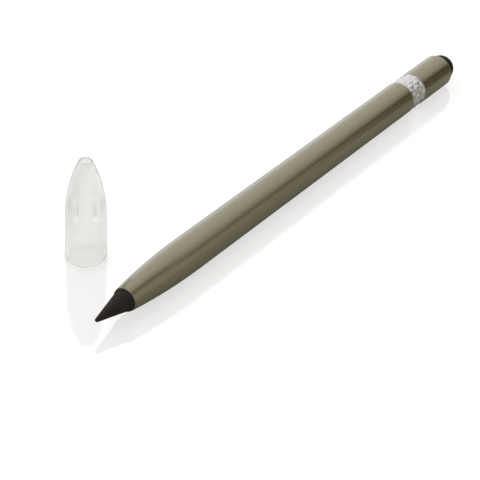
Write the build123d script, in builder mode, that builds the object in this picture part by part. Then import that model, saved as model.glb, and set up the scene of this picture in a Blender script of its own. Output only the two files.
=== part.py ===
"""Inkless metal pencil with an eraser end, lying on a table, and its protective cap standing beside it.

Row frame: +X runs along the pencil from the writing point to the eraser, +Z is up, and the table is at Z = 0.
The origin is the middle of the footprint of pencil and cap together. All sizes are in millimetres.
"""

import os
from math import asin, atan2, cos, hypot, pi, sin

from build123d import *

# Barrel: a tube with a long curved nose
barrel_diameter = 9.0
barrel_length = 117.5
barrel_wall = 0.8
nose_length = 23.4
nose_end_diameter = 6.12
nose_edge = 0.12

# Writing tip: a blunt cone on a round shoulder, held by a threaded stud
tip_length = 10.35
tip_point_radius = 0.5
tip_shoulder_length = 0.7
tip_cone_diameter = 5.28
tip_shoulder_diameter = 5.86
tip_shoulder_round = 0.29
stud_diameter = 2.5
stud_socket_depth = 3.5
stud_reach = 8.0
stud_chamfer = 0.3

# Bush pressed into the nose, with the tip's thread
bush_wall = 0.9
bush_length = 9.0
bush_recess = 0.3

# Joint sleeve between barrel and eraser end, with the spigots that carry the ring and the eraser sleeve
joint_plug_length = 10.0
joint_bore_diameter = 3.0
ring_spigot_diameter = 6.0
thread_spigot_diameter = 5.5
thread_spigot_length = 5.5
thread_relief = 0.8

# Knurled ring: diamonds in rows between two plain collars
ring_length = 6.1
collar_length = 0.12
collar_step = 0.05
collar_chamfer = 0.05
knurl_columns = 12
knurl_rows = 2
knurl_depth = 0.2

# Eraser end
sleeve_length = 14.15
sleeve_end_run = 0.8
sleeve_end_drop = 0.6
insert_length = 8.0
eraser_stand_out = 1.0

# Cap, standing on its open end
cap_height = 27.7
cap_mouth_diameter = 8.4
cap_wall = 0.75
cap_lip_diameter = 10.3
cap_lip_height = 1.0
cap_lip_round = 0.3
cap_lip_run = 2.2
cap_body_diameter = 9.86
cap_shoulder_diameter = 9.68
cap_shoulder_height = 13.0
cap_top_diameter = 2.8
cap_top_thickness = 1.9
cap_top_round = 1.0
cap_rib_count = 6
cap_rib_width = 0.6
cap_rib_start = 13.2
cap_rib_turn = 8.0
cap_rib_reach = 0.55
cap_along = 22.0
cap_aside = 21.4

# Fits
running_clearance = 0.05

# What follows from the sizes above: each station is a distance from the writing point, along the pencil
barrel_radius = barrel_diameter / 2
bore_radius = barrel_radius - barrel_wall
nose_end_radius = nose_end_diameter / 2
tip_cone_length = tip_length - tip_shoulder_length
nose_station = tip_length
taper_station = nose_station + nose_length
bush_radius = stud_diameter / 2 + running_clearance + bush_wall
bush_end = nose_station + bush_length
ring_station = nose_station + barrel_length
sleeve_station = ring_station + ring_length
sleeve_end = sleeve_station + sleeve_length
insert_end = sleeve_station + insert_length
overall_length = sleeve_end + eraser_stand_out + bore_radius
cap_lip_radius = cap_lip_diameter / 2

# Places: the footprint of pencil and cap is centred on the origin
pencil_y = -(cap_aside + cap_lip_radius - barrel_radius) / 2
point_x = -overall_length / 2
cap_x = point_x + cap_along
cap_y = pencil_y + cap_aside

# Sketches on this plane hold (distance from the writing point, distance from the axis)
axis_plane = Plane(origin=(point_x, pencil_y, barrel_radius), x_dir=(1, 0, 0), z_dir=(0, -1, 0))
pencil_axis = Axis(axis_plane.origin, axis_plane.x_dir)

# Sketches on this plane hold (distance from the cap's axis, height above the table)
cap_plane = Plane(origin=(cap_x, cap_y, 0), x_dir=(1, 0, 0), z_dir=(0, -1, 0))
cap_axis = Axis(cap_plane.origin, (0, 0, 1))


# Writing tip: the point's round runs into the cone, and the cone ends at a round-edged shoulder
with BuildPart() as writing_tip:
    with BuildSketch(axis_plane):
        with BuildLine():
            cone_run = tip_cone_length - tip_point_radius
            cone_radius = tip_cone_diameter / 2
            cone_angle = atan2(cone_radius, cone_run) - asin(tip_point_radius / hypot(cone_radius, cone_run))
            cone_start = (tip_point_radius * (1 - sin(cone_angle)), tip_point_radius * cos(cone_angle))
            point_round = TangentArc((0, 0), cone_start, tangent=(0, 1))
            cone = Line(point_round @ 1, (tip_cone_length, cone_radius))
            shoulder_start = (tip_cone_length + tip_shoulder_round, tip_shoulder_diameter / 2)
            shoulder = TangentArc(shoulder_start, cone @ 1, tangent=(-1, 0))
            Polyline(
                shoulder @ 0,
                (tip_length, tip_shoulder_diameter / 2),
                (tip_length, stud_diameter / 2),
                (tip_length - stud_socket_depth, stud_diameter / 2),
                (tip_length - stud_socket_depth, 0),
                (0, 0),
            )
        make_face()
    revolve(axis=pencil_axis)
writing_tip.part.label = "writing_tip"


# Stud: pressed into the tip's socket, threaded where it enters the bush
with BuildPart() as tip_stud:
    with BuildSketch(axis_plane):
        with BuildLine():
            stud_start = tip_length - stud_socket_depth
            stud_end = tip_length + stud_reach
            Polyline(
                (stud_start, 0),
                (stud_start, stud_diameter / 2),
                (stud_end - stud_chamfer, stud_diameter / 2),
                (stud_end, stud_diameter / 2 - stud_chamfer),
                (stud_end, 0),
                close=True,
            )
        make_face()
    revolve(axis=pencil_axis)
tip_stud.part.label = "tip_stud"


# Bush: pressed into the bore of the nose, just behind the seat of the tip
with BuildPart() as nose_bush:
    with BuildSketch(axis_plane):
        with BuildLine():
            bush_bore = stud_diameter / 2 + running_clearance
            Polyline(
                (nose_station + bush_recess, bush_bore),
                (nose_station + bush_recess, bush_radius),
                (bush_end, bush_radius),
                (bush_end, bush_bore),
                close=True,
            )
        make_face()
    revolve(axis=pencil_axis)
nose_bush.part.label = "nose_bush"


# Barrel: a tube whose nose is one long arc, tangent to the straight run
with BuildPart() as barrel:
    with BuildSketch(axis_plane):
        with BuildLine():
            straight = Line((ring_station, barrel_radius), (taper_station, barrel_radius))
            nose = TangentArc(straight @ 1, (nose_station, nose_end_radius), tangent=(-1, 0))
            Polyline(
                nose @ 1,
                (nose_station, bush_radius),
                (bush_end, bush_radius),
                (taper_station, bore_radius),
                (ring_station, bore_radius),
                straight @ 0,
            )
        make_face()
    revolve(axis=pencil_axis)
    chamfer(barrel.faces().sort_by(Axis.X)[0].outer_wire().edges(), length=nose_edge)
barrel.part.label = "barrel"


# Joint sleeve: its plug sits in the barrel, its spigots carry the ring and the eraser end
with BuildPart() as joint_sleeve:
    with BuildSketch(axis_plane):
        with BuildLine():
            spigot_end = sleeve_station + thread_spigot_length
            Polyline(
                (ring_station - joint_plug_length, joint_bore_diameter / 2),
                (ring_station - joint_plug_length, bore_radius),
                (ring_station, bore_radius),
                (ring_station, ring_spigot_diameter / 2),
                (sleeve_station, ring_spigot_diameter / 2),
                (sleeve_station, thread_spigot_diameter / 2),
                (spigot_end, thread_spigot_diameter / 2),
                (spigot_end, joint_bore_diameter / 2),
                close=True,
            )
        make_face()
    revolve(axis=pencil_axis)
joint_sleeve.part.label = "joint_sleeve"


def knurl_point(column, row):
    """Corner of the knurl: every second crossing of the lattice is the peak of a diamond, the others lie in the grooves."""
    is_peak = (column + row) % 2 == 1
    radius = barrel_radius if is_peak else barrel_radius - knurl_depth
    angle = pi * column / knurl_columns
    along = ring_station + collar_length + row * (ring_length - 2 * collar_length) / (2 * knurl_rows)
    return axis_plane.from_local_coords((along, radius * cos(angle), radius * sin(angle)))


def knurl_faces():
    """Each cell of the lattice is two flat facets that meet in the groove between two peaks, and a star closes each end."""
    columns, rows = 2 * knurl_columns, 2 * knurl_rows
    facets = []
    for column in range(columns):
        for row in range(rows):
            low, high = (column, row), (column + 1, row + 1)
            side, other = (column + 1, row), (column, row + 1)
            peaks, grooves = ((low, high), (side, other)) if sum(low) % 2 == 1 else ((side, other), (low, high))
            facets += [(peak, *grooves) for peak in peaks]
    ends = [tuple((column, row) for column in range(columns)) for row in (0, rows)]
    return [
        Face(Wire.make_polygon([knurl_point(*corner) for corner in corners], close=True))
        for corners in facets + ends
    ]


# Knurled ring: a faceted band between two plain collars, pressed onto its spigot
with BuildPart() as knurled_ring:
    add(Solid(Shell(knurl_faces())))
    with BuildSketch(axis_plane):
        for collar_start in (ring_station, sleeve_station - collar_length):
            with BuildLine():
                Polyline(
                    (collar_start, 0),
                    (collar_start, barrel_radius - collar_step),
                    (collar_start + collar_length, barrel_radius - collar_step),
                    (collar_start + collar_length, 0),
                    close=True,
                )
            make_face()
    revolve(axis=pencil_axis)
    ring_ends = knurled_ring.faces().filter_by(GeomType.PLANE).sort_by(Axis.X)
    chamfer([ring_ends[0].outer_wire().edge(), ring_ends[-1].outer_wire().edge()], length=collar_chamfer)
    with BuildSketch(Plane(axis_plane.from_local_coords((ring_station, 0, 0)), x_dir=(0, 1, 0), z_dir=(1, 0, 0))):
        Circle(ring_spigot_diameter / 2)
    extrude(amount=ring_length, mode=Mode.SUBTRACT)
knurled_ring.part.label = "knurled_ring"


# Eraser sleeve: a short tube as wide as the barrel, drawn in round its open end
with BuildPart() as eraser_sleeve:
    with BuildSketch(axis_plane):
        with BuildLine():
            sleeve_run = Line((sleeve_station, barrel_radius), (sleeve_end - sleeve_end_run, barrel_radius))
            drawn_end = TangentArc(sleeve_run @ 1, (sleeve_end, barrel_radius - sleeve_end_drop), tangent=(1, 0))
            Polyline(
                drawn_end @ 1,
                (sleeve_end, bore_radius),
                (sleeve_station, bore_radius),
                sleeve_run @ 0,
            )
        make_face()
    revolve(axis=pencil_axis)
eraser_sleeve.part.label = "eraser_sleeve"


# Insert pressed into the eraser sleeve: the threaded socket that screws onto the joint sleeve
with BuildPart() as sleeve_insert:
    with BuildSketch(axis_plane):
        with BuildLine():
            socket_radius = thread_spigot_diameter / 2 + running_clearance
            socket_end = sleeve_station + thread_spigot_length + thread_relief
            Polyline(
                (sleeve_station, socket_radius),
                (sleeve_station, bore_radius),
                (insert_end, bore_radius),
                (insert_end, 0),
                (socket_end, 0),
                (socket_end, socket_radius),
                close=True,
            )
        make_face()
    revolve(axis=pencil_axis)
sleeve_insert.part.label = "sleeve_insert"


# Eraser: a rubber plug seated on the insert, with a round end that stands out of the sleeve
with BuildPart() as eraser:
    with BuildSketch(axis_plane):
        with BuildLine():
            dome_start = sleeve_end + eraser_stand_out
            plug = Polyline((dome_start, 0), (insert_end, 0), (insert_end, bore_radius), (dome_start, bore_radius))
            dome = TangentArc(plug @ 1, (dome_start + bore_radius, 0), tangent=(1, 0))
            Line(dome @ 1, plug @ 0)
        make_face()
    revolve(axis=pencil_axis)
eraser.part.label = "eraser"


# Space inside the cap: a bore with draft that closes in a rounded nose, less the ribs on its wall
with BuildPart() as cap_space:
    with BuildSketch(cap_plane):
        with BuildLine():
            space_top = cap_height - cap_top_thickness
            bore_run = Line((cap_mouth_diameter / 2, 0), (cap_shoulder_diameter / 2 - cap_wall, cap_shoulder_height))
            nose_run = TangentArc(bore_run @ 1, (cap_top_diameter / 2, space_top), tangent=bore_run % 1)
            Polyline(nose_run @ 1, (0, space_top), (0, 0), bore_run @ 0)
        make_face()
    revolve(axis=cap_axis)
    with BuildSketch(Plane((cap_x, cap_y, cap_rib_start))):
        rib_inner = cap_shoulder_diameter / 2 - cap_wall - cap_rib_reach
        with PolarLocations(rib_inner + cap_wall, cap_rib_count, start_angle=cap_rib_turn):
            Rectangle(2 * cap_wall, cap_rib_width)
    extrude(amount=space_top - cap_rib_start, mode=Mode.SUBTRACT)


# Cap: a moulded bullet with a slight lip at its mouth, standing on the lip
with BuildPart() as cap:
    with BuildSketch(cap_plane):
        with BuildLine():
            lip_top = cap_lip_height + cap_lip_run
            lip = Line((cap_lip_radius, 0), (cap_lip_radius, cap_lip_height))
            flare = Line(lip @ 1, (cap_body_diameter / 2, lip_top))
            body = Line(flare @ 1, (cap_shoulder_diameter / 2, cap_shoulder_height))
            ogive = TangentArc(body @ 1, (cap_top_diameter / 2, cap_height), tangent=body % 1)
            Polyline(ogive @ 1, (0, cap_height), (0, 0), lip @ 0)
        make_face()
    revolve(axis=cap_axis)
    fillet(cap.faces().sort_by(Axis.Z)[-1].edges(), radius=cap_top_round)
    fillet(cap.faces().sort_by(Axis.Z)[0].edges(), radius=cap_lip_round)
    add(cap_space.part, mode=Mode.SUBTRACT)
cap.part.label = "cap"


os.makedirs("parts", exist_ok=True)
for piece in (
    writing_tip,
    tip_stud,
    nose_bush,
    barrel,
    joint_sleeve,
    knurled_ring,
    eraser_sleeve,
    sleeve_insert,
    eraser,
    cap,
):
    export_step(piece.part, f"parts/{piece.part.label}.step")
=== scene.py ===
"""Looks of an inkless metal pencil lying on a pale glossy table, with its frosted cap standing beside it.

Every piece of the pencil is turned work: a profile of (distance from the writing point, radius), in
millimetres, carried round the pencil's axis. The cap is the same about its own upright axis. Places come
from the CAD frame.
"""

from math import cos, pi, radians, sin

import bpy
import numpy as np
from mathutils import Matrix, Vector


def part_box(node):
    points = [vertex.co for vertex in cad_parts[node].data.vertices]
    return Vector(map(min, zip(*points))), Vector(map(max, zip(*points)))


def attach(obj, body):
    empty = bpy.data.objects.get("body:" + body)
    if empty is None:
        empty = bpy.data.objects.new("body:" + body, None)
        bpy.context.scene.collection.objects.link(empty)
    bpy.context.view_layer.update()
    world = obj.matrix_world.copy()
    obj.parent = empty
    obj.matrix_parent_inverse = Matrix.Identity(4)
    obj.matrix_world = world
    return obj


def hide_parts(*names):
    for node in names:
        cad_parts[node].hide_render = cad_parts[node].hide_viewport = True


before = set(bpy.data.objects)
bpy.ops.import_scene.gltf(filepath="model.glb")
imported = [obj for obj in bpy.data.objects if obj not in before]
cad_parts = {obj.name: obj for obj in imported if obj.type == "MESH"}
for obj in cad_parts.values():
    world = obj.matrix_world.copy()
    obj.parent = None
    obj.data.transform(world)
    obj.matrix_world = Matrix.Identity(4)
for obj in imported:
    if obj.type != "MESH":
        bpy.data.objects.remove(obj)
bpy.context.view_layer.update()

MM = 0.001


# Stations along the pencil, in millimetres from the writing point, read from the frame


def span(node, axis):
    """Lowest and highest value of a CAD node along one axis, in metres."""
    low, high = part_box(node)
    return low[axis], high[axis]


POINT_X = span("writing_tip", 0)[0]
AXIS_Y = sum(span("barrel", 1)) / 2
AXIS_Z = sum(span("barrel", 2)) / 2
CAP_X = sum(span("cap", 0)) / 2
CAP_Y = sum(span("cap", 1)) / 2


def station(node, end):
    """Where a node begins (0) or ends (1) along the pencil, in millimetres from the writing point."""
    return (span(node, 0)[end] - POINT_X) / MM


def radius_of(node):
    """Largest radius of a node, in millimetres, from its width across the pencil."""
    low, high = span(node, 1)
    return (high - low) / 2 / MM


NOSE = station("barrel", 0)
RING = station("knurled_ring", 0)
SLEEVE = station("eraser_sleeve", 0)
SLEEVE_END = station("eraser_sleeve", 1)
ERASER_SEAT = station("eraser", 0)
ERASER_TOP = station("eraser", 1)
BARREL_R = radius_of("barrel")
BORE_R = radius_of("eraser")
SHOULDER_R = radius_of("writing_tip")
STUD_R = radius_of("tip_stud")
CAP_TOP = span("cap", 2)[1] / MM
CAP_LIP_R = radius_of("cap")

# Sizes that the frame's boxes don't give, in millimetres and degrees, the same as in the solids

RING_BORE_R = 3.0
CAP_SHOULDER_R = 4.84
CAP_SHOULDER_H = 13.0
CAP_RIBS = 6
CAP_RIB_TURN = 8

# Heading of the view, from the pencil's axis

HEADING = radians(34.4)


# Shapes


def eased(corners, ease, steps=5):
    """Polyline whose corners are rounded: each becomes the curve (1-t)^2 A + 2t(1-t) P + t^2 B between
    points A and B set back from the corner P by ease, or by 0.45 of the shorter side. The two ends stay as
    they are."""
    p = np.asarray(corners, float)
    before, at, after = p[:-2], p[1:-1], p[2:]
    sides = np.stack([np.linalg.norm(before - at, axis=1), np.linalg.norm(after - at, axis=1)])
    back = np.minimum(np.broadcast_to(ease, at.shape[:1]), 0.45 * sides.min(axis=0))[:, None]
    a = at + (before - at) / sides[0][:, None] * back
    b = at + (after - at) / sides[1][:, None] * back
    t = np.linspace(0, 1, steps)[None, :, None]
    curve = (1 - t) ** 2 * a[:, None] + 2 * t * (1 - t) * at[:, None] + t**2 * b[:, None]
    return np.concatenate([p[:1], curve.reshape(-1, 2), p[-1:]])


def arc(start, end, tangent, steps):
    """Circular arc in the profile from start to end that leaves start along tangent: its centre lies on the
    normal at start, at the distance |c|^2 / (2 c.n) for the chord c."""
    start, end, tangent = (np.asarray(v, float) for v in (start, end, tangent))
    chord = end - start
    normal = np.array([-tangent[1], tangent[0]]) / np.linalg.norm(tangent)
    reach = chord @ chord / (2 * chord @ normal)
    centre = start + normal * reach
    first, last = np.arctan2(*(start - centre)[::-1]), np.arctan2(*(end - centre)[::-1])
    turn = (last - first + pi) % (2 * pi) - pi
    angle = first + turn * np.linspace(0, 1, steps)
    return centre + abs(reach) * np.stack([np.cos(angle), np.sin(angle)], axis=1)


def soft_rise(share):
    """0 to 1 with level ends: 3 t^2 - 2 t^3, with t held between 0 and 1."""
    t = np.clip(share, 0, 1)
    return t * t * (3 - 2 * t)


def round_grid(columns):
    """Angles of the columns of a turned piece."""
    return np.arange(columns) * 2 * pi / columns


def all_round(values, columns):
    """One value for each row, repeated in every column. A grid of values stays as it is."""
    values = np.asarray(values, float)
    return values if values.ndim == 2 else np.repeat(values[:, None], columns, axis=1)


def about_pencil(along, radius, columns):
    """Profile carried round the pencil's axis: (along, r cos a, r sin a). The radius may be a grid."""
    angle, radius = round_grid(columns), all_round(radius, columns)
    x = all_round(along, columns) * MM + POINT_X
    y, z = AXIS_Y + radius * np.cos(angle) * MM, AXIS_Z + radius * np.sin(angle) * MM
    return np.stack([x, y, z], axis=2)


def about_cap(radius, height, columns):
    """Profile carried round the cap's axis: (r cos a, r sin a, height). The radius may be a grid."""
    angle, radius = round_grid(columns), all_round(radius, columns)
    x, y = CAP_X + radius * np.cos(angle) * MM, CAP_Y + radius * np.sin(angle) * MM
    return np.stack([x, y, all_round(height, columns) * MM], axis=2)


def skin(name, points, loop, sharp=35):
    """Closed skin over a grid of points (rows, columns). Columns meet all round. Rows meet too where loop
    is true; elsewhere the first and last rows are poles, one point each. Faces are turned outwards by the
    sign of the volume, and edges that bend by more than sharp degrees stay crisp."""
    rows, columns = points.shape[:2]
    index = np.arange(rows * columns).reshape(rows, columns)
    if not loop:
        index[0], index[-1] = index[0, 0], index[-1, 0]
    lower, upper = (index, np.roll(index, -1, axis=0)) if loop else (index[:-1], index[1:])
    quads = np.stack([lower, np.roll(lower, -1, axis=1), np.roll(upper, -1, axis=1), upper], axis=2)
    flat = points.reshape(-1, 3)
    p, q, r, s = (flat[quads[..., k]] - flat.mean(axis=0) for k in range(4))
    turned_over = np.sum(np.cross(p, q) * r) + np.sum(np.cross(p, r) * s) <= 0
    used, place = np.unique(quads, return_inverse=True)
    quads = place.reshape(quads.shape)[..., :: -1 if turned_over else 1]
    if loop:
        faces = quads.reshape(-1, 4).tolist()
    else:
        first, last = ((0, 1, 2), (1, 2, 3)) if turned_over else ((0, 2, 3), (0, 1, 2))
        body = quads[1:-1].reshape(-1, 4).tolist()
        faces = quads[0][:, first].tolist() + body + quads[-1][:, last].tolist()
    mesh = bpy.data.meshes.new(name)
    mesh.from_pydata(flat[used].tolist(), [], faces)
    mesh.polygons.foreach_set("use_smooth", np.ones(len(mesh.polygons), bool))
    mesh.set_sharp_from_angle(angle=radians(sharp))
    mesh.update()
    piece = bpy.data.objects.new(name, mesh)
    bpy.context.collection.objects.link(piece)
    return piece


def turned(name, profile, columns, loop):
    """Piece of the pencil whose profile of (along, radius) is the same all round."""
    return skin(name, about_pencil(profile[:, 0], profile[:, 1], columns), loop)


def dress(piece, node, body, material):
    """The piece stands for a CAD node, moves with its body and takes its finish."""
    piece.data.materials.append(material)
    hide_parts(node)
    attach(piece, body)


# Finishes


class Shade:
    """One output socket of a node tree. Arithmetic on it adds Math nodes, and node() adds any other node.
    A Shade with no socket only starts a chain of nodes."""

    def __init__(self, tree, socket=None):
        self.tree, self.socket = tree, socket

    def node(self, kind, settings=None, inputs=None, out=0):
        """Adds a node: its settings first, then the values or links of its sockets. Gives one output."""
        made = self.tree.nodes.new(kind)
        for key, value in (settings or {}).items():
            if key == "stops":
                elements = made.color_ramp.elements
                for place, _ in value[2:]:
                    elements.new(place)
                for stop, (place, colour) in zip(elements, value):
                    stop.position, stop.color = place, colour
            else:
                setattr(made, key, value)
        for key, value in (inputs or {}).items():
            if isinstance(value, Shade):
                self.tree.links.new(value.socket, made.inputs[key])
            else:
                made.inputs[key].default_value = value
        return Shade(self.tree, made.outputs[out] if made.outputs else None)

    def math(self, operation, *others, clamp=False):
        """Adds a Math node with this value first."""
        settings = {"operation": operation, "use_clamp": clamp}
        return self.node("ShaderNodeMath", settings, dict(enumerate((self, *others))))

    def __add__(self, other):
        return self.math("ADD", other)

    def __mul__(self, other):
        return self.math("MULTIPLY", other)

    def __sub__(self, other):
        return self.math("SUBTRACT", other)

    def __rsub__(self, other):
        return (self * -1.0) + other

    __radd__, __rmul__ = __add__, __mul__

    def mix(self, low, high):
        """Colour that goes from low to high as this value goes from 0 to 1."""
        factor, colour_a, colour_b, result = 0, 6, 7, 2
        inputs = {factor: self, colour_a: low, colour_b: high}
        return self.node("ShaderNodeMix", {"data_type": "RGBA"}, inputs, result)

    def step(self, low, high, kind="LINEAR"):
        """0 below low, 1 above high, and a straight ramp between them."""
        inputs = {"Value": self, "From Min": low, "From Max": high}
        return self.node("ShaderNodeMapRange", {"clamp": True, "interpolation_type": kind}, inputs)

    def smooth(self, low, high):
        """0 below low, 1 above high, and a soft rise between them."""
        return self.step(low, high, "SMOOTHSTEP")

    def band(self, rise, fall):
        """1 between two soft ends: it rises over the pair rise and falls over the pair fall."""
        return self.smooth(*rise) * (1.0 - self.smooth(*fall))

    def ramp(self, stops):
        """Colour ramp with stops of (place, level or colour)."""
        full = [(place, (*(v if isinstance(v, tuple) else (v,) * 3), 1)) for place, v in stops]
        return self.node("ShaderNodeValToRGB", {"stops": full}, {"Fac": self})

    def parts(self):
        """The three parts of a coordinate."""
        return [self.node("ShaderNodeSeparateXYZ", {}, {0: self}, axis) for axis in range(3)]


def grey(level):
    """Colour with no tint."""
    return (level, level, level, 1)


def coordinates(tree, kind):
    """Where a point is: Object on the pieces and the table, Generated in the room."""
    return Shade(tree).node("ShaderNodeTexCoord", out=kind)


def ray(tree, kind):
    """1 on rays of one kind, 0 on the others."""
    return Shade(tree).node("ShaderNodeLightPath", out=f"Is {kind} Ray")


def finish(name, constants):
    """New material: its Principled shader, with the values that are the same all over, and its Object
    coordinates."""
    material = bpy.data.materials.new(name)
    material.use_nodes = True
    shader = material.node_tree.nodes["Principled BSDF"]
    for key, value in constants.items():
        shader.inputs[key].default_value = value
    return material, shader, coordinates(material.node_tree, "Object")


def feed(shader, links):
    """Links what varies over the surface to the shader's sockets."""
    for key, value in links.items():
        value.tree.links.new(value.socket, shader.inputs[key])


def noise(where, scale, detail=2.0, rough=0.5, stretch=(1, 1, 1)):
    """Noise from 0 to 1, with scale grains to the metre, stretched along the axes."""
    inputs = {"Vector": where, "Scale": stretch}
    moved = where.node("ShaderNodeMapping", {"vector_type": "TEXTURE"}, inputs)
    inputs = {"Vector": moved, "Scale": scale, "Detail": detail, "Roughness": rough}
    return where.node("ShaderNodeTexNoise", {}, inputs)


def bump(height, strength, depth):
    """Normal of a surface that is raised by height times depth, in millimetres."""
    inputs = {"Height": height, "Strength": strength, "Distance": depth * MM}
    return height.node("ShaderNodeBump", {}, inputs)


def anodised_finish():
    """Satin anodised aluminium: olive-grey metal under a clear sealed layer, with a fine bead-blasted
    grain, a little cloudier here and there."""
    constants = {"Metallic": 1.0, "Coat Weight": 1.0, "Coat Roughness": 0.12}
    material, shader, where = finish("anodised_olive", constants)
    deep, pale = (0.243, 0.2195, 0.137, 1), (0.3035, 0.2765, 0.1835, 1)
    grain = noise(where, 9000, rough=0.6)
    cloud = noise(where, 60, detail=3.0, stretch=(4, 1, 1))
    links = {
        "Base Color": (grain * 0.25 + cloud * 0.75).mix(deep, pale),
        "Roughness": 0.14 + cloud * 0.05 + grain * 0.04,
        "Normal": bump(grain, strength=0.18, depth=0.03),
    }
    feed(shader, links)
    return material


def bright_finish():
    """Bright cut aluminium: nearly white metal with fine tool lines round the ring."""
    constants = {"Base Color": (0.742, 0.746, 0.758, 1), "Metallic": 0.82}
    material, shader, where = finish("bright_cut", constants)
    lines = noise(where, 400, stretch=(0.02, 1, 1))
    feed(shader, {"Roughness": 0.14 + lines * 0.12})
    return material


def graphite_finish():
    """Pressed graphite compound: near-black and matt, with a faint sheen on fine turning lines."""
    material, shader, where = finish("graphite_compound", {"Specular IOR Level": 0.25})
    deep, pale = (0.0145, 0.0112, 0.0093, 1), (0.032, 0.0255, 0.021, 1)
    turning = noise(where, 300, stretch=(0.01, 1, 1))
    grain = noise(where, 5000, detail=4.0, rough=0.65)
    links = {
        "Base Color": (grain * 0.6 + turning * 0.4).mix(deep, pale),
        "Roughness": 0.55 + grain * 0.2,
        "Normal": bump(grain * 0.5 + turning * 0.5, strength=0.25, depth=0.04),
    }
    feed(shader, links)
    return material


def rubber_finish():
    """Black eraser rubber: matt and slightly mottled, with a fine open grain."""
    material, shader, where = finish("eraser_rubber", {"Specular IOR Level": 0.2})
    deep, pale = (0.005, 0.0047, 0.003, 1), (0.014, 0.0132, 0.0088, 1)
    grain = noise(where, 3500, detail=4.0, rough=0.6)
    mottle = noise(where, 350)
    links = {
        "Base Color": (grain * 0.5 + mottle * 0.5).mix(deep, pale),
        "Roughness": 0.5 + grain * 0.2,
        "Normal": bump(grain, strength=0.35, depth=0.06),
    }
    feed(shader, links)
    return material


def frosted_finish():
    """Translucent moulded plastic: milky, with a soft frosted skin and slow flow marks up its length. Its
    colour also carries painted light and shade: painted shade in dim streaks beside the ribs inside, with
    painted highlights at their lower ends, painted shade in a thin dim line at the rim of the flat top and
    as a dim edge at the foot, and painted light on the flat top and on the upper wall where it is seen
    edge-on.

    Heights are in millimetres over the table, and distances beside a rib are shares of the ribs' pitch. The
    streaks lie 3 degrees round from the ribs. A mark's level is its height less 0.6 times the distance
    outwards from the shoulder's radius, so that it stays one mark through the wall."""
    constants = {"IOR": 1.12, "Transmission Weight": 1.0}
    material, shader, where = finish("frosted_plastic", constants)
    milk_deep, milk_pale = (0.851, 0.848, 0.829, 1), (0.871, 0.868, 0.852, 1)
    # Painted light on the flat top and painted shade at the foot.
    lit_top_tone, foot_shade_tone = (0.97, 0.97, 0.96, 1), (0.66, 0.657, 0.64, 1)
    # Painted shade: dim streaks beside the ribs inside and a dim line at the rim of the flat top.
    rib_shade_tone, rim_shade_tone = (0.73, 0.725, 0.69, 1), (0.76, 0.755, 0.72, 1)
    # Where the painted shade streaks and the painted highlights at the ribs' lower ends lie.
    rib_shade_sides, rib_shade_levels = (0.03, 0.13), ((14.4, 15.4), (16.5, 20.5))
    highlight_sides, highlight_levels = (0.02, 0.12), ((12.9, 13.7), (14.0, 14.8))
    # Heights of the painted shade line at the top's rim, the painted light on the flat top and the painted
    # shade at the foot.
    rim_shade_heights, lit_top_heights, foot_shade_heights = ((26.8, 27.1), (27.3, 27.55)), (27.3, 27.6), (0.05, 0.3)
    # Where the painted edge light lies, by height and by facing.
    edge_light_heights, edge_light_facing = (13.0, 20.0), (0.45, 0.9)
    rib_shade_turn, pitch = CAP_RIB_TURN + 3, 360 / CAP_RIBS
    frost = noise(where, 6000)
    flow = noise(where, 220, stretch=(1, 1, 8))
    x, y, z = where.parts()
    x, y, z = (x - CAP_X) * (1 / MM), (y - CAP_Y) * (1 / MM), z * (1 / MM)
    sector = y.math("ARCTAN2", x) * (CAP_RIBS / (2 * pi)) + (0.5 - rib_shade_turn / pitch)
    beside = (sector.math("FRACT") - 0.5).math("ABSOLUTE")
    level = z - ((x * x + y * y).math("SQRT") - CAP_SHOULDER_R) * 0.6
    # Painted shade streak beside each rib, and a painted highlight at each rib's lower end.
    rib_shade = (1.0 - beside.smooth(*rib_shade_sides)) * level.band(*rib_shade_levels)
    rib_end_highlight = (1.0 - beside.smooth(*highlight_sides)) * level.band(*highlight_levels)
    # Painted light: the upper wall is made lighter where it is seen edge-on.
    facing = where.node("ShaderNodeLayerWeight", {}, {"Blend": 0.5}, out="Facing")
    edge_on_light = facing.step(*edge_light_facing) * z.smooth(*edge_light_heights)
    # The plastic's milky tone, made lighter by the painted edge light.
    tone = edge_on_light.mix(flow.mix(milk_deep, milk_pale), grey(1))
    # Painted light on the flat top, then painted shade at the foot.
    tone = z.smooth(*lit_top_heights).mix(tone, lit_top_tone)
    tone = z.smooth(*foot_shade_heights).mix(foot_shade_tone, tone)
    tone = (rib_shade * 0.85).mix(tone, rib_shade_tone)
    # Painted shade: a thin dim line at the rim of the flat top.
    tone = z.band(*rim_shade_heights).mix(tone, rim_shade_tone)
    tone = rib_end_highlight.mix(tone, grey(1))
    links = {
        "Base Color": tone,
        "Roughness": 0.28 + frost * 0.06 + flow * 0.04,
        "Normal": bump(frost, strength=0.12, depth=0.02),
    }
    feed(shader, links)
    return material


def brass_finish():
    """Turned brass: warm yellow metal with fine tool lines round the axis."""
    material, shader, where = finish("turned_brass", {"Metallic": 1.0})
    deep, pale = (0.52, 0.38, 0.15, 1), (0.68, 0.52, 0.24, 1)
    lines = noise(where, 500, stretch=(0.01, 1, 1))
    feed(shader, {"Base Color": lines.mix(deep, pale), "Roughness": 0.2 + lines * 0.15})
    return material


ANODISED = anodised_finish()
BRIGHT = bright_finish()
GRAPHITE = graphite_finish()
RUBBER = rubber_finish()
FROSTED = frosted_finish()
BRASS = brass_finish()


# The pencil and its cap


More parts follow.
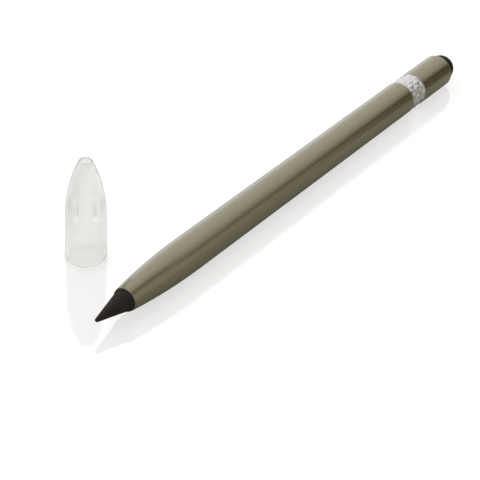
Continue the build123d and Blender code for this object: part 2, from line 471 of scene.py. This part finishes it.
def writing_tip():
    """Blunt cone tangent to its round point, a quarter-round shoulder, a flat seat and the stud's socket."""
    point_r, cone_r, shoulder_length, shoulder_round = 0.5, 2.64, 0.7, 0.29
    socket_end, edge = NOSE - 3.5, 0.06
    cone_end = NOSE - shoulder_length
    run = cone_end - point_r
    slope = np.arctan2(cone_r, run) - np.arcsin(point_r / np.hypot(cone_r, run))
    cone_start = (point_r * (1 - sin(slope)), point_r * cos(slope))
    point = arc((0, 0), cone_start, (0, 1), steps=12)
    cone = np.linspace(cone_start, (cone_end, cone_r), 24)[1:]
    rim = (cone_end + shoulder_round, SHOULDER_R)
    shoulder = arc(rim, (cone_end, cone_r), (-1, 0), steps=8)[::-1][1:]
    seat = [rim, (NOSE, SHOULDER_R), (NOSE, STUD_R), (socket_end, STUD_R), (socket_end, 0)]
    profile = np.concatenate([point, cone, shoulder, eased(seat, edge)[1:]])
    return turned("graphite_tip", profile, columns=160, loop=False)


def thread_radius(along, angle, crest, depth, pitch, start, end):
    """Screw thread: the radius falls from crest by depth times a flattened triangle wave of
    along/pitch - angle/2pi, and the thread fades out over half a pitch at each end."""
    steep, flat = 1.5, 0.25
    phase = (along[:, None] / pitch - angle[None, :] / (2 * pi)) % 1
    wave = np.clip(steep * np.abs(2 * phase - 1) - flat, 0, 1)
    fade = np.clip(np.minimum(along - start, end - along) / (0.5 * pitch), 0, 1)
    return crest - depth * wave * fade[:, None]


def tip_stud():
    """Stud from the bottom of the tip's socket: plain in the tip, threaded in the bush, with a chamfer."""
    begin, end = station("tip_stud", 0), station("tip_stud", 1)
    columns, step, chamfer, depth, pitch = 64, 0.05, 0.3, 0.22, 0.45
    thread_start, thread_end = NOSE + 0.4, end - 0.2
    shank = np.arange(begin + step, end - chamfer, step)
    along = np.concatenate([[begin, begin], shank, [end - chamfer, end, end]])
    radius = thread_radius(along, round_grid(columns), STUD_R, depth, pitch, thread_start, thread_end)
    radius[-2] -= chamfer
    radius[0], radius[-1] = 0, 0
    return skin("threaded_stud", about_pencil(along, radius, columns), loop=False)


def barrel():
    """Tube whose nose is one arc tangent to the straight run, with broken edges at both ends and its
    stepped bore. A row of points a little before the rear edge keeps the shading of the wall straight."""
    nose_r, bush_r = 3.06, 2.2
    taper, bush_end = NOSE + 23.4, NOSE + 9.0
    front_edge, front_set_in, edge_rows, rear_edges, support = 0.14, 0.02, 3, (0.12, 0.05), 0.3
    nose = arc((taper, BARREL_R), (NOSE, nose_r), (-1, 0), steps=90)[::-1]
    front = [(NOSE, bush_r), (NOSE, nose_r - front_set_in), nose[edge_rows]]
    straight = np.linspace((taper, BARREL_R), (RING - support, BARREL_R), 40)
    rear = [straight[-1], (RING, BARREL_R), (RING, BORE_R), (taper, BORE_R)]
    front, rear = eased(front, front_edge)[:-1], eased(rear, rear_edges)
    profile = np.concatenate([front, nose[edge_rows:-1], straight[:-1], rear, [(bush_end, bush_r)]])
    return turned("olive_barrel", profile, columns=256, loop=True)


def joint_sleeve():
    """Plug in the barrel, plain spigot in the ring and threaded spigot in the eraser end, bored through."""
    begin, end = station("joint_sleeve", 0), station("joint_sleeve", 1)
    columns, step, thread_r, bore_r, depth, pitch = 96, 0.06, 2.75, 1.5, 0.26, 0.75
    thread_start = SLEEVE + 0.5
    plug = [(begin, BORE_R), (RING, BORE_R)]
    spigot = [(RING, RING_BORE_R), (SLEEVE, RING_BORE_R), (SLEEVE, thread_r)]
    run = np.arange(SLEEVE + step, end, step)
    thread = np.stack([run, np.full(len(run), thread_r)], axis=1)
    close = [(end, thread_r), (end, bore_r), (begin, bore_r)]
    profile = np.concatenate([plug, spigot, thread, close])
    radius = all_round(profile[:, 1], columns)
    first = len(plug) + len(spigot)
    threads = thread_radius(run, round_grid(columns), thread_r, depth, pitch, thread_start, end)
    radius[first : first + len(run)] = threads
    return skin("threaded_joint", about_pencil(profile[:, 0], radius, columns), loop=True)


def knurled_ring():
    """Diamond knurl between two collars. In half-pitch steps U round the ring and V along it, every second
    crossing of whole steps is a peak. Each peak carries four flat facets,
    r = (R - b |x|) / (cos t + a |sin t|) at the angle t and the distance x from it, and the higher of a
    cell's two peaks counts. Ridges and grooves are a little rounded."""
    around, half_rows, collar, depth, columns, rows_each = 12, 4, 0.12, 0.2, 576, 24
    ridge, groove = 0.02, 0.008
    collar_r, outer_edge, inner_edge = BARREL_R - 0.05, 0.05, 0.04
    wall_r = collar_r - 0.1
    half_angle, half_run = pi / around, (SLEEVE - RING - 2 * collar) / half_rows
    groove_r = BARREL_R - depth
    lean_round = (BARREL_R - groove_r * cos(half_angle)) / (groove_r * sin(half_angle))
    lean_along = depth / half_run
    band_start, band_end = RING + collar, SLEEVE - collar
    band = np.linspace(band_start, band_end, half_rows * rows_each + 1)
    u, v = np.meshgrid(round_grid(columns) / half_angle, (band - band_start) / half_run)
    cell_u, cell_v = np.floor(u), np.floor(v)
    odd = (cell_u + cell_v) % 2

    def facets(peak_u, peak_v):
        """Radius of the four facets of the peaks at (U, V), with |x| and |sin t| rounded at the ridge."""
        t, x = (u - peak_u) * half_angle, (v - peak_v) * half_run
        off_round = np.sqrt(np.sin(t) ** 2 + (ridge / BARREL_R) ** 2) - ridge / BARREL_R
        off_along = np.sqrt(x**2 + ridge**2) - ridge
        return (BARREL_R - lean_along * off_along) / (np.cos(t) + lean_round * off_round)

    lower, upper = facets(cell_u + 1 - odd, cell_v), facets(cell_u + odd, cell_v + 1)
    knurl = np.minimum(groove * np.logaddexp(lower / groove, upper / groove), BARREL_R)
    front = [(RING, RING_BORE_R), (RING, collar_r), (band_start, collar_r), (band_start, wall_r)]
    rear = [(band_end, wall_r), (band_end, collar_r), (SLEEVE, collar_r), (SLEEVE, RING_BORE_R)]
    front, rear = eased(front, (outer_edge, inner_edge)), eased(rear, (inner_edge, outer_edge))
    along = np.concatenate([front[:, 0], band, rear[:, 0]])
    radius = np.concatenate([all_round(front[:, 1], columns), knurl, all_round(rear[:, 1], columns)])
    return skin("diamond_ring", about_pencil(along, radius, columns), loop=True, sharp=30)


def eraser_sleeve():
    """Short tube as wide as the barrel, drawn in by an arc round its open end."""
    end_run, end_drop, front_edge, lip_edges, support = 0.8, 0.6, 0.12, (0.08, 0.06), 0.3
    drawn = arc((SLEEVE_END - end_run, BARREL_R), (SLEEVE_END, BARREL_R - end_drop), (1, 0), steps=16)
    straight = np.linspace((SLEEVE + support, BARREL_R), drawn[0], 40)
    front = eased([(SLEEVE, BORE_R), (SLEEVE, BARREL_R), straight[0]], front_edge)[:-1]
    lip = eased([drawn[-2], drawn[-1], (SLEEVE_END, BORE_R), (SLEEVE, BORE_R)], lip_edges)[1:-1]
    profile = np.concatenate([front, straight[:-1], drawn[:-1], lip])
    return turned("olive_sleeve", profile, columns=256, loop=True)


def eraser():
    """Rubber plug with a round end, a hair slimmer than the sleeve's bore."""
    play, edge = 0.015, 0.2
    plug_r, dome_start = BORE_R - play, ERASER_TOP - BORE_R
    plug = eased([(ERASER_SEAT, 0), (ERASER_SEAT, plug_r), (dome_start, plug_r)], edge)[:-1]
    dome = arc((dome_start, plug_r), (ERASER_TOP, 0), (1, 0), steps=40)
    return turned("rubber_eraser", np.concatenate([plug, dome]), columns=160, loop=False)


def cap():
    """Bullet with a lip at its mouth, a slight draft and a round nose, and ribs inside: where a rib stands,
    the inner wall comes in to the rib's radius, with a soft rise over its width and at its lower end."""
    columns, wall, mouth_r, body_r = 360, 0.75, 4.2, 4.93
    lip_height, lip_end, top_r, inner_top = 1.0, 3.2, 1.4, CAP_TOP - 1.9
    foot_round, lip_round, lip_blend, mouth_edge, crown_round = 0.3, 0.5, 1.5, 0.12, 0.62
    crown_rows, mouth_rows = 6, 2
    shoulder = (CAP_SHOULDER_R, CAP_SHOULDER_H)
    draft = (CAP_SHOULDER_R - body_r, CAP_SHOULDER_H - lip_end)
    outside = arc(shoulder, (top_r, CAP_TOP), draft, steps=48)
    crown = eased([outside[-crown_rows], (top_r, CAP_TOP), (0, CAP_TOP)], crown_round, steps=14)[1:]
    lip = [(mouth_r, 0), (CAP_LIP_R, 0), (CAP_LIP_R, lip_height), (body_r, lip_end), shoulder]
    skirt = eased(lip, (foot_round, lip_round, lip_blend), steps=7)
    outer = np.concatenate([skirt[1:], outside[1:-crown_rows], crown])[::-1]

    inner_shoulder = (CAP_SHOULDER_R - wall, CAP_SHOULDER_H)
    bore = np.linspace((mouth_r, 0), inner_shoulder, 60)
    inside = arc(inner_shoulder, (top_r, inner_top), bore[-1] - bore[0], steps=60)
    mouth = eased([(CAP_LIP_R - foot_round, 0), (mouth_r, 0), bore[mouth_rows]], mouth_edge)[1:-1]
    inner = np.concatenate([mouth, bore[mouth_rows:], inside[1:], [(0, inner_top)]])

    rib_r, rib_half_width, rib_side, rib_seat_r, rib_start, rib_rise = 3.54, 0.42, 0.2, 3.8, 13.0, 0.4
    turns = (round_grid(columns) - radians(CAP_RIB_TURN)) * CAP_RIBS / (2 * pi)
    off = np.abs((turns + 0.5) % 1 - 0.5) * (2 * pi / CAP_RIBS)
    across = soft_rise((rib_half_width - off * rib_seat_r) / rib_side)
    up = soft_rise((inner[:, 1] - rib_start) / rib_rise) * (inner[:, 1] < inner_top)
    reach = np.clip(inner[:, 0] - rib_r, 0, None) * up
    profile = np.concatenate([outer, inner])
    radius = all_round(profile[:, 0], columns)
    radius[len(outer) :] -= reach[:, None] * across[None, :]
    return skin("frosted_cap", about_cap(radius, profile[:, 1], columns), loop=False)


dress(writing_tip(), "writing_tip", "tip", GRAPHITE)
dress(tip_stud(), "tip_stud", "tip", BRASS)
dress(barrel(), "barrel", "pencil", ANODISED)
dress(joint_sleeve(), "joint_sleeve", "pencil", BRASS)
dress(knurled_ring(), "knurled_ring", "pencil", BRIGHT)
dress(eraser_sleeve(), "eraser_sleeve", "eraser_end", ANODISED)
dress(eraser(), "eraser", "eraser_end", RUBBER)
dress(cap(), "cap", "loose_cap", FROSTED)
for name in ("nose_bush", "sleeve_insert"):
    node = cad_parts[name]
    node.data.materials.clear()
    node.data.materials.append(BRASS)


# Table, light and camera


def table_top():
    """Plain pale glossy table. Seen straight on, through the cap or mirrored from well behind the pencil,
    it is white, with a soft shadow and a faint mirror image of what stands on it. Through the cap it has
    painted shade: a little dimmer past the cap's left side. In the other reflections on the pieces it is a
    plain sheet with painted shade: white behind the pencil, light grey in front of it, darker just under it
    as a painted shadow, and dim beyond its far end."""
    reach = 3.0
    corners = [(-reach, -reach, 0), (reach, -reach, 0), (reach, reach, 0), (-reach, reach, 0)]
    mesh = bpy.data.meshes.new("table_top")
    mesh.from_pydata(corners, [], [(0, 1, 2, 3)])
    top = bpy.data.objects.new("table_top", mesh)
    bpy.context.collection.objects.link(top)
    material = bpy.data.materials.new("pale_gloss")
    material.use_nodes = True
    tree = material.node_tree
    tree.nodes.clear()
    start = Shade(tree)
    x, y, _ = coordinates(tree, "Object").parts()
    through = ray(tree, "Transmission")

    # Painted shade on the sheet seen in reflections: light grey in front of the pencil, darker just under it
    # as a painted shadow, and dim beyond its far end.
    front_shade_tone, under_shadow_tone, far_shade_tone = (0.58, 0.57, 0.51, 1), (0.54, 0.53, 0.46, 1), (0.21, 0.2, 0.14, 1)
    beyond = (x * 0.8 + y * 0.75).step(0.015, 0.06) * (y * -1.0).step(0.02, 0.05)
    behind = y.step(AXIS_Y + 0.014, AXIS_Y + 0.065)
    front_shade = y.step(AXIS_Y - 0.04, AXIS_Y - 0.006).mix(front_shade_tone, under_shadow_tone)
    sheet_shade_tone = behind.mix(beyond.mix(front_shade, far_shade_tone), grey(1))
    sheet = start.node("ShaderNodeBsdfDiffuse", {}, {"Color": sheet_shade_tone})

    away_x, away_y = cos(HEADING), sin(HEADING)
    from_cap_x, from_cap_y = x - CAP_X, y - CAP_Y
    to_right = from_cap_x * away_y - from_cap_y * away_x
    away = from_cap_x * away_x + from_cap_y * away_y
    # Painted shade: through the cap the table is dimmer past the cap's left side.
    cap_left_shade = (1.0 - to_right.smooth(-0.011, 0.001)) * away.smooth(0.006, 0.014)
    glow = through.mix(grey(0.88), cap_left_shade.mix(grey(0.99), grey(0.8)))
    shadow = start.node("ShaderNodeBsdfDiffuse", {}, {"Color": grey(0.3)})
    mirror = start.node("ShaderNodeBsdfGlossy", {}, {"Color": grey(0.18), "Roughness": 0.04})
    white = start.node("ShaderNodeEmission", {}, {"Color": glow, "Strength": 0.75})
    table = start.node("ShaderNodeAddShader", {}, {0: shadow, 1: mirror})
    table = start.node("ShaderNodeAddShader", {}, {0: table, 1: white})

    seen = ray(tree, "Camera").math("ADD", through, clamp=True)
    seen = seen.math("MAXIMUM", ray(tree, "Glossy") * behind)
    shown = start.node("ShaderNodeMixShader", {}, {0: seen, 1: sheet, 2: table})
    start.node("ShaderNodeOutputMaterial", {}, {"Surface": shown})
    mesh.materials.append(material)


def room():
    """Studio round the table: brightest overhead and behind the pencil and dimmer towards the front. Low in
    front there is a faint dusk on the near side, a dark, warm gap beyond the pencil's far end, and a dusk
    higher up towards the nose. The angle runs over the pencil, from the front horizon (0) up and over to
    the back horizon (1), and x tells the three sides apart. Through the cap the room is white, and grey
    overhead."""
    world = bpy.data.worlds.new("studio")
    bpy.context.scene.world = world
    world.use_nodes = True
    tree = world.node_tree
    tree.nodes.clear()
    x, y, z = coordinates(tree, "Generated").parts()
    over = z.math("ARCTAN2", y * -1.0) * (1 / pi)
    dusk, dark, low_front = (0.4, 0.38, 0.3), (0.06, 0.055, 0.022), (0.56, 0.54, 0.48)
    near = over.ramp(
        [
            (0.0, (0.52, 0.505, 0.45)),
            (0.11, (0.55, 0.535, 0.465)),
            (0.178, dusk),
            (0.222, dusk),
            (0.277, 0.54),
            (0.36, 0.71),
            (0.45, 0.84),
            (0.58, 0.94),
            (0.72, 0.98),
            (0.9, 1.0),
        ]
    )
    far = over.ramp(
        [
            (0.0, (0.1, 0.09, 0.045)),
            (0.1, (0.07, 0.064, 0.024)),
            (0.153, dark),
            (0.203, (0.08, 0.073, 0.033)),
            (0.253, (0.29, 0.28, 0.24)),
            (0.294, (0.47, 0.46, 0.42)),
            (0.36, (0.65, 0.635, 0.6)),
            (0.45, (0.77, 0.755, 0.72)),
            (0.58, (0.87, 0.85, 0.815)),
            (0.9, (0.88, 0.86, 0.83)),
        ]
    )
    nose = over.ramp(
        [
            (0.0, low_front),
            (0.18, low_front),
            (0.235, (0.46, 0.44, 0.37)),
            (0.284, (0.32, 0.3, 0.24)),
            (0.322, (0.33, 0.315, 0.26)),
            (0.37, 0.52),
            (0.42, 0.68),
            (0.48, 0.8),
            (0.58, 0.92),
            (0.72, 0.98),
            (0.9, 1.0),
        ]
    )
    aside = x.smooth(0.69, 0.785) - x.smooth(0.8, 0.92) * 0.5
    round_pencil = x.smooth(0.52, 0.61).mix(nose, aside.mix(near, far))
    behind_cap = z.step(0.4, 0.58).mix(grey(1), grey(0.3))
    colour = ray(tree, "Transmission").mix(round_pencil, behind_cap)
    colour = ray(tree, "Camera").mix(colour, grey(1))
    light = Shade(tree).node("ShaderNodeBackground", {}, {"Color": colour, "Strength": 1.0})
    light.node("ShaderNodeOutputWorld", {}, {"Surface": light})


def camera():
    """Camera of the photograph: its look-at point on the table, height, roll and lens as fitted."""
    target = Vector((POINT_X + 0.05125, AXIS_Y - 0.00264, 0))
    elevation, roll, distance = radians(35.06), radians(3.15), 0.4346
    picture_pixels, shift_up = 480, 0.25
    level = Vector((cos(HEADING), sin(HEADING), 0))
    forward = level * cos(elevation) - Vector((0, 0, 1)) * sin(elevation)
    right = forward.cross(Vector((0, 0, 1))).normalized()
    up = right.cross(forward)
    right, up = right * cos(roll) + up * sin(roll), up * cos(roll) - right * sin(roll)
    data = bpy.data.cameras.new("camera")
    data.lens, data.sensor_width, data.sensor_fit, data.clip_start = 134.2, 36, "AUTO", 0.01
    data.shift_y = shift_up / picture_pixels
    taker = bpy.data.objects.new("camera", data)
    turn = Matrix((right, up, -forward)).transposed().to_4x4()
    taker.matrix_world = Matrix.Translation(target - forward * distance) @ turn
    bpy.context.collection.objects.link(taker)
    bpy.context.scene.camera = taker


table_top()
room()
camera()
bpy.context.scene.view_settings.view_transform = "Standard"
